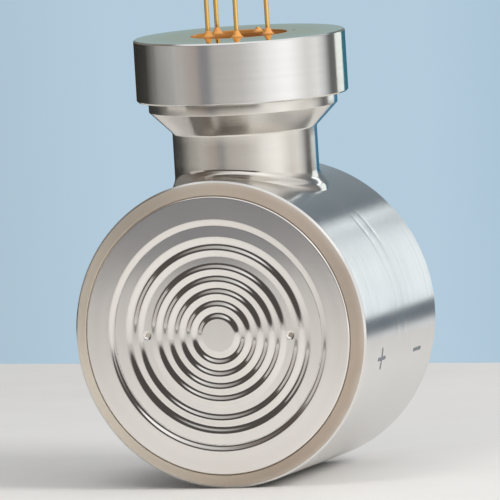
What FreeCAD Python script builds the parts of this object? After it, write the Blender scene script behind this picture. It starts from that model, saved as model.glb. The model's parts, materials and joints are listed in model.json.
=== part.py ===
import FreeCAD, Part
import math
import os

# Differential pressure sensor capsule, in millimetres.
# The origin is the centre of the barrel. +Z runs up the neck to the contact pins, and the barrel's
# axis lies along Y, with the high pressure face towards -Y and the low pressure face towards +Y.
Vector = FreeCAD.Vector
ORIGIN = Vector(0, 0, 0)
UP = Vector(0, 0, 1)
RIGHT = Vector(1, 0, 0)
REARWARD = Vector(0, 1, 0)
FORWARD = Vector(0, -1, 0)
FULL_TURN = 360.0

# Driving dimensions of the barrel
BARREL_DIAMETER = 40.0
FACE_TO_FACE = 29.3
BARREL_EDGE_LENGTH = 26.7
EDGE_BEVEL = 0.3
RIM_CONE_ANGLE = 33.0

# Driving dimensions of the isolating diaphragm and its weld ring
RING_OUTER_DIAMETER = 36.2
RING_INNER_DIAMETER = 29.94
RING_HEIGHT = 0.28
RING_BEVEL_WIDTH = 0.54
RING_EDGE_BEVEL = 0.2
WELD_GAP = 0.1
FOIL_THICKNESS = 0.1
OIL_GAP = 0.1
BED_DIAMETER = 27.2
CORRUGATION_DEPTH = 0.25
CORRUGATION_PITCH = 1.608
CENTRE_DISC_RADIUS = 2.16
INNER_FLANKS = 9
PORT_LAND_WIDTH = 0.88
OUTER_FLANKS = 3

# Driving dimensions of the neck and the header
NECK_DIAMETER = 18.82
NECK_BORE_DIAMETER = 14.8
COLLAR_DIAMETER = 24.56
COLLAR_HEIGHT = 1.4
WELD_LEG = 1.2
SADDLE_SAMPLES = 9
SADDLE_TOLERANCE = 1e-5
HEADER_DIAMETER = 27.56
HEADER_HEIGHT = 8.1
HEADER_BEVEL = 0.2
HEADER_TOP_HEIGHT = 37.77
INDEX_MARK_DIAMETER = 0.5
INDEX_MARK_DEPTH = 0.25
INDEX_MARK_PLACE = (6.4, 3.4)

# Driving dimensions of the glass seal and the contact pins
GLASS_DIAMETER = 12.6
GLASS_THICKNESS = 3.6
MENISCUS_RADIUS = 1.5
MENISCUS_HEIGHT = 0.7
TRIMMED_MENISCUS_HEIGHT = 0.4
MENISCUS_HOLLOW_SHARE = 0.25
PIN_DIAMETER = 0.6
PIN_CIRCLE_RADIUS = 4.2
PIN_PITCH_ANGLE = 67.5
FIRST_PIN_ANGLE = 151.9
LONG_PINS = 4
PIN_REACH = 11.0
TRIMMED_PIN_REACH = 0.5
PIN_STUB = 0.6

# Driving dimensions of the oil system and the measuring cell
OVERLOAD_DIAMETER = 39.8
OVERLOAD_THICKNESS = 0.4
DISH_DIAMETER = 27.0
DISH_DEPTH = 0.4
PORT_DIAMETER = 1.0
CAPILLARY_DIAMETER = 1.6
CAPILLARY_BORE = 0.8
CAPILLARY_OFFSET = 4.5
CAPILLARY_FOOT_HEIGHT = 14.0
PLATE_DIAMETER = 16.0
PLATE_THICKNESS = 2.2
SOCKET_DEPTH = 1.0
CROSS_CHANNEL_DEPTH = 1.5
PEDESTAL_DIAMETER = 3.2
PEDESTAL_HEIGHT = 1.0
CHIP_SIDE = 2.6
CHIP_THICKNESS = 0.4
MEMBRANE_SIDE = 1.2
MEMBRANE_THICKNESS = 0.1
FILLER_INNER_DIAMETER = 5.0
FILLER_OUTER_DIAMETER = 12.0
FILLER_HEIGHT = 1.3
WIRE_DIAMETER = 0.08
WIRE_PAD_RADIUS = 1.1

# Driving dimensions of the oil filling points, on the -X side
FILL_OFFSET = 7.0
FILL_BORE_DIAMETER = 1.2
FILL_SEAT_RADIUS = 14.6
PLUG_DIAMETER = 2.4
PLUG_TAPER_LENGTH = 1.2
PLUG_HEAD_LENGTH = 0.6
FILL_SCREW_DIAMETER = 4.0
FILL_SCREW_RECESS = 0.6
HEX_SIDES = 6
HEX_ACROSS_FLATS = 2.0
HEX_DEPTH = 1.6

# Levels along the barrel's axis, counted from its middle towards a face
FACE_LEVEL = FACE_TO_FACE / 2
FOIL_LEVEL = FACE_LEVEL - RING_HEIGHT
SEAT_LEVEL = FOIL_LEVEL - FOIL_THICKNESS
BED_LEVEL = SEAT_LEVEL - CORRUGATION_DEPTH - OIL_GAP
EDGE_LEVEL = BARREL_EDGE_LENGTH / 2
MATING_LEVEL = OVERLOAD_THICKNESS / 2

# Radii of the barrel and the ring
BARREL_RADIUS = BARREL_DIAMETER / 2
RING_RADIUS = RING_OUTER_DIAMETER / 2
RING_MOUTH_RADIUS = RING_INNER_DIAMETER / 2
SEAT_RADIUS = RING_RADIUS + WELD_GAP
CONE_RADIUS = BARREL_RADIUS - EDGE_BEVEL
CONE_HEIGHT = (CONE_RADIUS - SEAT_RADIUS) * math.tan(math.radians(RIM_CONE_ANGLE))

# Radii of the corrugations: a zigzag of half pitches, with a flat land over the oil ports
HALF_PITCH = CORRUGATION_PITCH / 2
LAND_INNER_RADIUS = CENTRE_DISC_RADIUS + INNER_FLANKS * HALF_PITCH
LAND_OUTER_RADIUS = LAND_INNER_RADIUS + PORT_LAND_WIDTH
PORT_RADIUS_FROM_AXIS = (LAND_INNER_RADIUS + LAND_OUTER_RADIUS) / 2

# Heights up the neck
NECK_RADIUS = NECK_DIAMETER / 2
COLLAR_RADIUS = COLLAR_DIAMETER / 2
HEADER_RADIUS = HEADER_DIAMETER / 2
HEADER_FOOT = HEADER_TOP_HEIGHT - HEADER_HEIGHT
COLLAR_FOOT = HEADER_FOOT - COLLAR_HEIGHT
CONE_FOOT = COLLAR_FOOT - (COLLAR_RADIUS - NECK_RADIUS)
GLASS_RADIUS = GLASS_DIAMETER / 2
GLASS_FOOT = HEADER_TOP_HEIGHT - GLASS_THICKNESS
PLATE_TOP = HEADER_FOOT + PLATE_THICKNESS
CAPILLARY_TOP = HEADER_FOOT + SOCKET_DEPTH
CHIP_FOOT = PLATE_TOP + PEDESTAL_HEIGHT
CHIP_TOP = CHIP_FOOT + CHIP_THICKNESS
PIN_RADIUS = PIN_DIAMETER / 2
PIN_FOOT = GLASS_FOOT - PIN_STUB


def turned(outline, axis):
    """Solid of revolution of a closed outline of (radius, level) corners about an axis."""
    corners = [RIGHT * radius + axis * level for radius, level in outline]
    face = Part.Face(Part.makePolygon(corners + corners[:1]))
    return face.revolve(ORIGIN, axis, FULL_TURN)


def rod(diameter, start, end):
    """Straight round rod between two points."""
    run = end - start
    return Part.makeCylinder(diameter / 2, run.Length, start, run)


def mirrored(shape):
    """The same piece on the low pressure side."""
    return shape.mirror(ORIGIN, REARWARD)


def pin_places():
    """Centres of the long pins and of the trimmed one, which stands midway in the wide gap."""
    angles = [FIRST_PIN_ANGLE + PIN_PITCH_ANGLE * step for step in range(LONG_PINS)]
    angles.append((angles[0] + FULL_TURN + angles[-1]) / 2)
    turns = [math.radians(angle) for angle in angles]
    return [Vector(math.cos(turn), math.sin(turn), 0) * PIN_CIRCLE_RADIUS for turn in turns]


def barrel_blank():
    """Plain cylinder of the barrel's outer size."""
    return rod(BARREL_DIAMETER, FORWARD * EDGE_LEVEL, REARWARD * EDGE_LEVEL)


def fill_plug():
    """Tapered plug pressed into the mouth of the filling bore."""
    seat = FORWARD * FILL_OFFSET - RIGHT * FILL_SEAT_RADIUS
    head = rod(PLUG_DIAMETER, seat, seat - RIGHT * PLUG_HEAD_LENGTH)
    taper = Part.makeCone(PLUG_DIAMETER / 2, FILL_BORE_DIAMETER / 2, PLUG_TAPER_LENGTH, seat, RIGHT)
    return head.fuse(taper)


def oil_passages():
    """Everything drilled in one half: two ports, the filling point and the way to the neck."""
    ports = [
        rod(PORT_DIAMETER, side, side + FORWARD * FACE_LEVEL)
        for side in (RIGHT * PORT_RADIUS_FROM_AXIS, RIGHT * -PORT_RADIUS_FROM_AXIS)
    ]
    fill = FORWARD * FILL_OFFSET
    seat = fill - RIGHT * FILL_SEAT_RADIUS
    fill_bore = rod(FILL_BORE_DIAMETER, fill - RIGHT * PORT_RADIUS_FROM_AXIS, seat)
    screw_hole = rod(FILL_SCREW_DIAMETER, seat, fill - RIGHT * BARREL_DIAMETER)
    foot = FORWARD * CAPILLARY_OFFSET + UP * CAPILLARY_FOOT_HEIGHT
    socket = rod(CAPILLARY_DIAMETER, foot, foot + UP * BARREL_DIAMETER)
    slant = rod(PORT_DIAMETER, foot, FORWARD * CAPILLARY_OFFSET + RIGHT * PORT_RADIUS_FROM_AXIS)
    return ports + [fill_bore, fill_plug(), screw_hole, socket, slant]


def half_body():
    """Front half of the barrel: conical rim, seat and bed for the foil, and a dish on the inner side."""
    outline = [
        (0, MATING_LEVEL + DISH_DEPTH),
        (DISH_DIAMETER / 2, MATING_LEVEL + DISH_DEPTH),
        (DISH_DIAMETER / 2, MATING_LEVEL),
        (BARREL_RADIUS, MATING_LEVEL),
        (BARREL_RADIUS, EDGE_LEVEL),
        (CONE_RADIUS, EDGE_LEVEL + EDGE_BEVEL),
        (SEAT_RADIUS, EDGE_LEVEL + EDGE_BEVEL + CONE_HEIGHT),
        (SEAT_RADIUS, SEAT_LEVEL),
        (BED_DIAMETER / 2, SEAT_LEVEL),
        (BED_DIAMETER / 2, BED_LEVEL),
        (0, BED_LEVEL),
    ]
    return turned(outline, FORWARD).cut(oil_passages())


def zigzag(start_radius, start_level, flanks, crest, trough):
    """Corners of a run of corrugations, which starts on a crest or in a trough."""
    levels = (crest, trough) if start_level == crest else (trough, crest)
    return [(start_radius + HALF_PITCH * step, levels[step % 2]) for step in range(flanks + 1)]


def isolating_diaphragm():
    """Corrugated foil: centre disc, inner waves, flat land over the ports, outer waves and rim."""
    crest = FOIL_LEVEL
    trough = FOIL_LEVEL - CORRUGATION_DEPTH
    front = [(0, crest)]
    front += zigzag(CENTRE_DISC_RADIUS, crest, INNER_FLANKS, crest, trough)
    front += zigzag(LAND_OUTER_RADIUS, trough, OUTER_FLANKS, crest, trough)
    front += [(RING_RADIUS, crest)]
    back = [(radius, level - FOIL_THICKNESS) for radius, level in reversed(front)]
    return turned(front + back, FORWARD)


def weld_ring():
    """Flat ring over the foil's rim, bevelled towards the waves and at its outer edge."""
    outline = [
        (RING_MOUTH_RADIUS - RING_BEVEL_WIDTH, FOIL_LEVEL),
        (RING_MOUTH_RADIUS, FACE_LEVEL),
        (RING_RADIUS - RING_EDGE_BEVEL, FACE_LEVEL),
        (RING_RADIUS, FACE_LEVEL - RING_EDGE_BEVEL),
        (RING_RADIUS, FOIL_LEVEL),
    ]
    return turned(outline, FORWARD)


def overload_diaphragm():
    """Thick plain disc clamped between the halves, its edge just below the barrel's surface."""
    return rod(OVERLOAD_DIAMETER, FORWARD * MATING_LEVEL, REARWARD * MATING_LEVEL)


def meets_barrel(edge):
    """True for the saddle-shaped edge where the neck stands on the barrel."""
    points = edge.discretize(SADDLE_SAMPLES)
    near = NECK_RADIUS * SADDLE_TOLERANCE
    on_neck = all(abs(math.hypot(p.x, p.y) - NECK_RADIUS) < near for p in points)
    on_barrel = all(abs(math.hypot(p.x, p.z) - BARREL_RADIUS) < near for p in points)
    return on_neck and on_barrel


def neck():
    """Tube with a cone and a collar, saddled on the barrel, with a sloping weld bead at its foot."""
    barrel = barrel_blank()
    outline = [
        (0, 0),
        (NECK_RADIUS, 0),
        (NECK_RADIUS, CONE_FOOT),
        (COLLAR_RADIUS, COLLAR_FOOT),
        (COLLAR_RADIUS, HEADER_FOOT),
        (0, HEADER_FOOT),
    ]
    standing = turned(outline, UP).fuse(barrel)
    saddle = [edge for edge in standing.Edges if meets_barrel(edge)]
    welded = standing.makeChamfer(WELD_LEG, saddle)
    bore = rod(NECK_BORE_DIAMETER, ORIGIN, UP * HEADER_TOP_HEIGHT)
    return welded.cut([barrel, bore])


def header_body():
    """Thick disc with a stepped bore for the glass above and the capillary plate below."""
    outline = [
        (PLATE_DIAMETER / 2, HEADER_FOOT),
        (HEADER_RADIUS - HEADER_BEVEL, HEADER_FOOT),
        (HEADER_RADIUS, HEADER_FOOT + HEADER_BEVEL),
        (HEADER_RADIUS, HEADER_TOP_HEIGHT - HEADER_BEVEL),
        (HEADER_RADIUS - HEADER_BEVEL, HEADER_TOP_HEIGHT),
        (GLASS_RADIUS, HEADER_TOP_HEIGHT),
        (GLASS_RADIUS, PLATE_TOP),
        (PLATE_DIAMETER / 2, PLATE_TOP),
    ]
    mark = Vector(*INDEX_MARK_PLACE, HEADER_TOP_HEIGHT)
    return turned(outline, UP).cut(rod(INDEX_MARK_DIAMETER, mark - UP * INDEX_MARK_DEPTH, mark))


def meniscus(place, height):
    """Glass that climbs a pin in a hollow curve."""
    middle = place + UP * HEADER_TOP_HEIGHT
    toe = middle + RIGHT * MENISCUS_RADIUS
    lip = middle + RIGHT * PIN_RADIUS + UP * height
    inward = (UP * (PIN_RADIUS - MENISCUS_RADIUS) - RIGHT * height).normalize()
    hollow = (toe + lip) / 2 + inward * height * MENISCUS_HOLLOW_SHARE
    curve = Part.Arc(toe, hollow, lip).toShape()
    rest = Part.makePolygon([lip, middle + UP * height, middle, toe])
    return Part.Face(Part.Wire([curve] + rest.Edges)).revolve(middle, UP, FULL_TURN)


def glass_seal():
    """Glass disc with a meniscus climbing each pin."""
    seal = rod(GLASS_DIAMETER, UP * GLASS_FOOT, UP * HEADER_TOP_HEIGHT)
    for number, place in enumerate(pin_places(), start=1):
        seal = seal.fuse(meniscus(place, MENISCUS_HEIGHT if number <= LONG_PINS else TRIMMED_MENISCUS_HEIGHT))
    holes = [rod(PIN_DIAMETER, place, place + UP * BARREL_DIAMETER) for place in pin_places()]
    return seal.cut(holes)


def contact_pin(place, reach):
    """Round pin through the glass, cut square at both ends."""
    return rod(PIN_DIAMETER, place + UP * PIN_FOOT, place + UP * (HEADER_TOP_HEIGHT + reach))


def capillary_plate():
    """Disc that closes the sensor chamber, with a socket and an oil way for each capillary."""
    plate = rod(PLATE_DIAMETER, UP * HEADER_FOOT, UP * PLATE_TOP)
    front = FORWARD * CAPILLARY_OFFSET
    rear = REARWARD * CAPILLARY_OFFSET
    channel = UP * (HEADER_FOOT + CROSS_CHANNEL_DEPTH)
    sockets = [rod(CAPILLARY_DIAMETER, foot, foot + UP * CAPILLARY_TOP) for foot in (front, rear)]
    ways = [
        rod(CAPILLARY_BORE, front, front + UP * PLATE_TOP),
        rod(CAPILLARY_BORE, rear, rear + channel),
        rod(CAPILLARY_BORE, rear + channel, channel),
        rod(CAPILLARY_BORE, channel, UP * PLATE_TOP),
    ]
    return plate.cut(sockets + ways)


def capillary():
    """Straight thin tube from the front half up to the capillary plate."""
    foot = FORWARD * CAPILLARY_OFFSET + UP * CAPILLARY_FOOT_HEIGHT
    top = FORWARD * CAPILLARY_OFFSET + UP * CAPILLARY_TOP
    return rod(CAPILLARY_DIAMETER, foot, top).cut(rod(CAPILLARY_BORE, foot, top))


def chip_pedestal():
    """Glass seat of the chip, bored for the oil of the low pressure side."""
    seat = rod(PEDESTAL_DIAMETER, UP * PLATE_TOP, UP * CHIP_FOOT)
    return seat.cut(rod(CAPILLARY_BORE, UP * PLATE_TOP, UP * CHIP_FOOT))


def sensor_chip():
    """Square silicon chip, hollowed from below to a thin membrane."""
    corner = Vector(-CHIP_SIDE / 2, -CHIP_SIDE / 2, CHIP_FOOT)
    chip = Part.makeBox(CHIP_SIDE, CHIP_SIDE, CHIP_THICKNESS, corner)
    hollow_corner = Vector(-MEMBRANE_SIDE / 2, -MEMBRANE_SIDE / 2, CHIP_FOOT)
    hollow = Part.makeBox(MEMBRANE_SIDE, MEMBRANE_SIDE, CHIP_THICKNESS - MEMBRANE_THICKNESS, hollow_corner)
    return chip.cut(hollow)


def filler_ring():
    """Ceramic ring round the chip, open over the capillary of the high pressure side."""
    top = UP * (PLATE_TOP + FILLER_HEIGHT)
    ring = rod(FILLER_OUTER_DIAMETER, UP * PLATE_TOP, top)
    centre_hole = rod(FILLER_INNER_DIAMETER, UP * PLATE_TOP, top)
    foot = FORWARD * CAPILLARY_OFFSET
    return ring.cut([centre_hole, rod(CAPILLARY_DIAMETER, foot, foot + top)])


def bond_wire(place):
    """Fine wire from a pad on the chip to the lower end of a pin, trimmed where it meets them."""
    out = Vector(place).normalize()
    start = out * WIRE_PAD_RADIUS + UP * (CHIP_TOP - WIRE_DIAMETER)
    wire = rod(WIRE_DIAMETER, start, place + UP * (PIN_FOOT + PIN_STUB / 2))
    return wire.cut([sensor_chip(), contact_pin(place, PIN_REACH)])


def bond_wires():
    """One wire for each long pin, as a group of separate solids."""
    return Part.makeCompound([bond_wire(place) for place in pin_places()[:LONG_PINS]])


def fill_screw():
    """Set screw with a hexagon socket, which backs the plug."""
    inner = FORWARD * FILL_OFFSET - RIGHT * (FILL_SEAT_RADIUS + PLUG_HEAD_LENGTH)
    outer = FORWARD * FILL_OFFSET - RIGHT * (BARREL_RADIUS - FILL_SCREW_RECESS)
    half_side_angle = math.pi / HEX_SIDES
    corner_radius = HEX_ACROSS_FLATS / 2 / math.cos(half_side_angle)
    turns = [2 * half_side_angle * step for step in range(HEX_SIDES)]
    corners = [outer + Vector(0, math.cos(turn), math.sin(turn)) * corner_radius for turn in turns]
    socket = Part.Face(Part.makePolygon(corners + corners[:1])).extrude(RIGHT * HEX_DEPTH)
    return rod(FILL_SCREW_DIAMETER, inner, outer).cut(socket)


def pieces():
    """Every piece of the capsule by name."""
    made = {
        "overload_diaphragm": overload_diaphragm(),
        "neck": neck(),
        "header_body": header_body(),
        "glass_seal": glass_seal(),
        "capillary_plate": capillary_plate(),
        "chip_pedestal": chip_pedestal(),
        "sensor_chip": sensor_chip(),
        "filler_ring": filler_ring(),
        "bond_wires": bond_wires(),
    }
    paired = {
        "half_body": half_body(),
        "isolating_diaphragm": isolating_diaphragm(),
        "weld_ring": weld_ring(),
        "capillary": capillary(),
        "fill_plug": fill_plug(),
        "fill_screw": fill_screw(),
    }
    for name, shape in paired.items():
        made["front_" + name] = shape
        made["rear_" + name] = mirrored(shape)
    for number, place in enumerate(pin_places(), start=1):
        reach = PIN_REACH if number <= LONG_PINS else TRIMMED_PIN_REACH
        made[f"contact_pin_{number}"] = contact_pin(place, reach)
    return made


os.makedirs("parts", exist_ok=True)
for name, shape in pieces().items():
    shape.exportStep(f"parts/{name}.step")
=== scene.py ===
import json
import math

import bmesh
import bpy
from bpy.props import FloatProperty, FloatVectorProperty, IntProperty, PointerProperty
from mathutils import Matrix, Vector


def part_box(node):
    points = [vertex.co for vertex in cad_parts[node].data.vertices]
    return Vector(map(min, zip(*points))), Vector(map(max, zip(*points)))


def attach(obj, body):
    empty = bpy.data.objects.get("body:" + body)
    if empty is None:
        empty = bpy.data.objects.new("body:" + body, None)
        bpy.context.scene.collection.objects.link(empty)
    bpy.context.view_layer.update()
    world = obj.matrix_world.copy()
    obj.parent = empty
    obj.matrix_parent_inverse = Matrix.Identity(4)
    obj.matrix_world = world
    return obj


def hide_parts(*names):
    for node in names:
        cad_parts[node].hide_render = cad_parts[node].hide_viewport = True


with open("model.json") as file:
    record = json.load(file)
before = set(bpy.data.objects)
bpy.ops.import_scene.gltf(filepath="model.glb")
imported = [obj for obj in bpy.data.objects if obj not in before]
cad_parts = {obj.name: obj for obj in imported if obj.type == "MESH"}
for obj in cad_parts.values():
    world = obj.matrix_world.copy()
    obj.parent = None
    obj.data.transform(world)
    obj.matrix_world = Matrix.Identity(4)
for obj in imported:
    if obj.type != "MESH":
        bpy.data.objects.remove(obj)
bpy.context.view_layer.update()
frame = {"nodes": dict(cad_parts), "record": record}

bl_info = {
    "name": "Differential pressure sensor",
    "version": (1, 0, 0),
    "blender": (4, 5, 0),
    "location": "View3D > Sidebar > Sensor",
    "description": "Builds the visible pieces of a differential pressure sensor capsule on its solids",
    "category": "Add Mesh",
}

BODY = "root"
MM = 0.001
FULL_TURN = 2 * math.pi
UP = Vector((0, 0, 1))
ACROSS = Vector((1, 0, 0))
SIDES = {"front": Vector((0, -1, 0)), "rear": Vector((0, 1, 0))}
PIN_NUMBERS = range(1, 6)

# Mesh settings
SHARP_ANGLE = math.radians(35)
FLAT_FACE_WEIGHT = 90
ROUNDING_LIMIT = 0.45  # share of an edge that one rounding may take up
ROD_SEGMENTS = 64
PIN_SEGMENTS = 48
SIGN_STEPS = 6
DIMPLE_CUTS = 5
DIMPLE_MARGIN = 1.4  # radius of the refined zone over the dimple's radius
SWAY_SWINGS = 3  # how often the bead's edges wander up and down
SWAY_PHASE = 0.8  # where that starts, in radians
TOE_SWAY = 0.8  # share of the bead's wandering that its lower edge has
RIPPLE_LEAN = 1.6  # how far a ripple leans on its way down the bead, in radians


# Values that a user may change


def length(name, description, millimetres):
    """Property for a size, given in millimetres and kept in metres."""
    metres = millimetres * MM
    return FloatProperty(name=name, description=description, default=metres, unit="LENGTH", precision=5)


def angle(name, description, degrees):
    """Property for an angle, given in degrees and kept in radians."""
    radians = math.radians(degrees)
    return FloatProperty(name=name, description=description, default=radians, unit="ROTATION")


def factor(name, description, value):
    """Property for a plain number."""
    return FloatProperty(name=name, description=description, default=value)


def count(name, description, value):
    """Property for a whole number."""
    return IntProperty(name=name, description=description, default=value, min=1)


def colour(name, description, value):
    """Property for a surface colour."""
    options = {"subtype": "COLOR", "min": 0, "max": 1}
    return FloatVectorProperty(name=name, description=description, default=value, **options)


class BarrelSizes(bpy.types.PropertyGroup):
    """Sizes of the barrel's two halves and the signs on them."""

    radius: length("Radius", "Outer radius of the barrel", 20.0)
    seam_level: length("Seam level", "Half the thickness of the disc between the halves", 0.2)
    seam_root: length("Seam root", "Radius of the disc between the halves", 19.905)
    seam_offset: length("Seam offset", "Distance of the weld band's edges from the middle", 1.3)
    seam_width: length("Seam width", "Half width of the hollow along each edge of the weld band", 0.65)
    seam_depth: length("Seam depth", "Depth of that hollow", 0.018)
    edge_level: length("Edge level", "Where the plain cylinder ends, from the middle", 13.35)
    edge_bevel: length("Edge bevel", "Bevel at the end of the cylinder", 0.3)
    seat_radius: length("Seat radius", "Radius of the recess for the ring", 18.2)
    rim_level: length("Rim level", "Highest point of the conical rim", 14.624)
    seat_level: length("Seat level", "Level of the recess that the foil lies on", 14.27)
    bed_radius: length("Bed radius", "Radius of the bed under the waves", 13.6)
    bed_level: length("Bed level", "Level of the bed under the waves", 13.92)
    edge_rounding: length("Edge rounding", "Radius on the broken edges", 0.06)
    screw_hole_radius: length("Screw hole radius", "Radius of the hole for a filling screw", 2.0)
    screw_hole_floor: length("Screw hole floor", "Distance of the hole's floor from the axis", 14.6)
    screw_offset: length("Screw offset", "Distance of a filling screw from the middle", 7.0)
    plus_angle: angle("Plus angle", "Place of the plus below the barrel's side", 12.4)
    minus_angle: angle("Minus angle", "Place of the minus below the barrel's side", 13.4)
    sign_offset: length("Sign offset", "Distance of the signs from the middle", 6.9)
    sign_length: length("Sign length", "Length of a sign's stroke", 2.9)
    sign_width: length("Sign width", "Width of a sign's stroke", 0.5)
    sign_thickness: length("Sign thickness", "Thickness of a sign", 0.02)
    sign_proud: length("Sign proud", "How far a sign stands out of the barrel", 0.004)
    segments: count("Segments", "Steps round the barrel", 288)


class FaceSizes(bpy.types.PropertyGroup):
    """Sizes of the corrugated foil and its ring."""

    face_level: length("Face level", "Level of the ring's flat face", 14.65)
    foil_level: length("Foil level", "Level of the foil's high flats", 14.37)
    foil_thickness: length("Foil thickness", "Thickness of the foil", 0.1)
    wave_depth: length("Wave depth", "Depth of the waves", 0.25)
    flank_width: length("Flank width", "Half a wave's pitch", 0.804)
    disc_radius: length("Disc radius", "Radius of the flat disc at the centre", 2.16)
    inner_flanks: count("Inner flanks", "Half waves inside the flat land", 9)
    land_width: length("Land width", "Width of the flat land over the ports", 0.88)
    outer_flanks: count("Outer flanks", "Half waves outside the flat land, before the last one", 2)
    last_flank: length("Last flank", "Width of the outermost half wave", 0.93)
    flank_steps: count("Flank steps", "Steps across one half wave", 8)
    dimple_radius: length("Dimple radius", "Radius of a pressed dimple on the land", 0.54)
    dimple_depth: length("Dimple depth", "Depth of a pressed dimple", 0.28)
    dimple_turn: angle("Dimple turn", "Turn of the dimples' line about the axis", 1.0)
    ring_radius: length("Ring radius", "Outer radius of the ring and the foil", 18.16)
    ring_mouth: length("Ring mouth", "Inner radius of the ring's flat face", 15.19)
    ring_slope: length("Ring slope", "Width of the slope down to the foil", 0.98)
    ring_bevel: length("Ring bevel", "Bevel at the ring's outer edge", 0.2)
    ring_rounding: length("Ring rounding", "Radius on the ring's edges", 0.12)
    segments: count("Segments", "Steps round the face", 320)


class NeckSizes(bpy.types.PropertyGroup):
    """Sizes of the neck and its weld bead."""

    radius: length("Radius", "Outer radius of the tube", 9.41)
    bore_radius: length("Bore radius", "Inner radius of the tube", 7.4)
    collar_radius: length("Collar radius", "Radius of the collar under the header", 12.28)
    collar_height: length("Collar height", "Height of the collar", 1.4)
    top_height: length("Top height", "Height of the collar's top", 29.67)
    edge_rounding: length("Edge rounding", "Radius on the turned edges", 0.1)
    cone_rounding: length("Cone rounding", "Radius where the cone leaves the tube", 0.4)
    bead_rise: length("Bead rise", "How far the weld bead climbs the tube", 0.8)
    bead_reach: length("Bead reach", "How far the weld bead runs out over the barrel", 1.05)
    bead_taper: factor("Bead taper", "How much narrower the bead is in front than on its right", 0.28)
    bead_side_gain: factor("Bead side gain", "How much higher the bead is beside the barrel's ridge", 1.4)
    bead_hollow: factor("Bead hollow", "How far the bead follows the neck before it turns out", 0.5)
    bead_lip: factor("Bead lip", "How steeply the bead's lip falls to the barrel", 0.55)
    bead_sway: length("Bead sway", "How much the bead's edges wander", 0.1)
    ripple_height: length("Ripple height", "Height of the bead's ripples", 0.001)
    ripples: count("Ripples", "Number of ripples round the bead", 74)
    bead_ledge: factor("Bead ledge", "How far its upper edge leans out in front, over its reach", 0.28)
    bead_flare: factor("Bead flare", "How far its lower edge runs flat in front, over its reach", 0.55)
    bead_root: length("Bead root", "How deep the bead's underside lies in the barrel", 0.2)
    bead_steps: count("Bead steps", "Steps across the bead", 16)
    segments: count("Segments", "Steps round the neck", 444)


class HeaderSizes(bpy.types.PropertyGroup):
    """Sizes of the header, its glass seal and the contact pins."""

    radius: length("Radius", "Outer radius of the header", 13.78)
    foot_height: length("Foot height", "Height of the header's underside", 29.67)
    top_height: length("Top height", "Height of the header's polished top", 37.77)
    bevel: length("Bevel", "Bevel on the header's edges", 0.2)
    edge_rounding: length("Edge rounding", "Radius on the header's edges", 0.07)
    plate_radius: length("Plate radius", "Radius of the recess below", 8.0)
    plate_height: length("Plate height", "Top of the recess below", 31.87)
    mark_radius: length("Mark radius", "Radius of the index mark", 0.25)
    mark_x: length("Mark X", "Place of the index mark", 6.4)
    mark_y: length("Mark Y", "Place of the index mark", 3.4)
    glass_radius: length("Glass radius", "Radius of the glass seal", 6.3)
    glass_thickness: length("Glass thickness", "Thickness of the glass seal", 3.6)
    glass_sink: length("Glass sink", "Depth of the glass surface below the header's top", 0.2)
    meniscus_radius: length("Meniscus radius", "Radius where the glass starts to climb a pin", 1.75)
    meniscus_height: length("Meniscus height", "How far the glass climbs a long pin", 0.95)
    short_meniscus: length("Short meniscus", "How far the glass climbs the trimmed pin", 0.42)
    pin_radius: length("Pin radius", "Radius of a contact pin", 0.3)
    pin_tip_rounding: length("Pin tip rounding", "Radius at a pin's tip", 0.12)
    segments: count("Segments", "Steps round the header", 256)


class Finishes(bpy.types.PropertyGroup):
    """Colours of the surfaces."""

    barrel_colour: colour("Barrel", "Turned steel of the barrel", (0.80, 0.79, 0.775))
    rim_colour: colour("Rim", "Pale straw tint from welding on the conical rim", (0.92, 0.85, 0.73))
    # On the rim this colour is painted shade on its right side; at the neck it is the weld bead's heat
    # tint.
    rim_shade_and_bead_tint_colour: colour("Deep rim", "Deeper tint where that weld ended", (0.49, 0.41, 0.335))
    ring_colour: colour("Ring", "Lapped steel of the ring", (0.83, 0.805, 0.775))
    foil_colour: colour("Foil", "Bright rolled foil", (0.835, 0.815, 0.785))
    neck_colour: colour("Neck", "Turned steel of the neck", (0.78, 0.75, 0.70))
    header_colour: colour("Header", "Polished steel of the header", (0.83, 0.825, 0.815))
    # Colour of the painted reflection round the glass on the header's polished top.
    top_reflection_colour: colour("Seal tint", "Straw tint round the glass", (0.76, 0.62, 0.32))
    inner_colour: colour("Inner steel", "Plain steel of the inner pieces", (0.60, 0.60, 0.60))
    glass_colour: colour("Glass", "Amber sealing glass", (0.72, 0.34, 0.085))
    glass_edge_colour: colour("Glass edge", "Darker amber away from the pins", (0.20, 0.075, 0.022))
    gold_colour: colour("Gold", "Gold plating of the pins", (1.0, 0.65, 0.21))
    sign_colour: colour("Signs", "Laser marks on the barrel", (0.24, 0.26, 0.30))
    silicon_colour: colour("Silicon", "Sensor chip", (0.20, 0.22, 0.26))
    ceramic_colour: colour("Ceramic", "Filler ring", (0.86, 0.85, 0.82))
    pedestal_colour: colour("Pedestal", "Glass seat of the chip", (0.80, 0.86, 0.86))


class StageValues(bpy.types.PropertyGroup):
    """Floor and camera."""

    floor_colour: colour("Floor", "Pale table top", (0.86, 0.845, 0.825))
    floor_front: length("Floor front", "Distance of the table's front edge", 300.0)
    floor_back: length("Floor back", "Distance of the table's rear edge", 124.0)
    floor_side: length("Floor side", "Half width of the table", 260.0)
    floor_thickness: length("Floor thickness", "Thickness of the table", 30.0)
    floor_rounding: length("Floor rounding", "Radius on the table's edges", 3.0)
    floor_turn: angle("Floor turn", "Turn of the table under the part", -8.5)
    camera_azimuth: angle("Camera azimuth", "Turn of the camera from the front towards the right", 20.51)
    camera_elevation: angle("Camera elevation", "Height angle of the camera", 5.55)
    camera_roll: angle("Camera roll", "Roll of the camera", -3.48)
    focal_px: factor("Focal length", "Focal length in pixels of the square picture", 13051.0)


GROUPS = {
    "sensor_barrel": BarrelSizes,
    "sensor_face": FaceSizes,
    "sensor_neck": NeckSizes,
    "sensor_header": HeaderSizes,
    "sensor_finishes": Finishes,
    "sensor_stage": StageValues,
}


# Mesh tools


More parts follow.
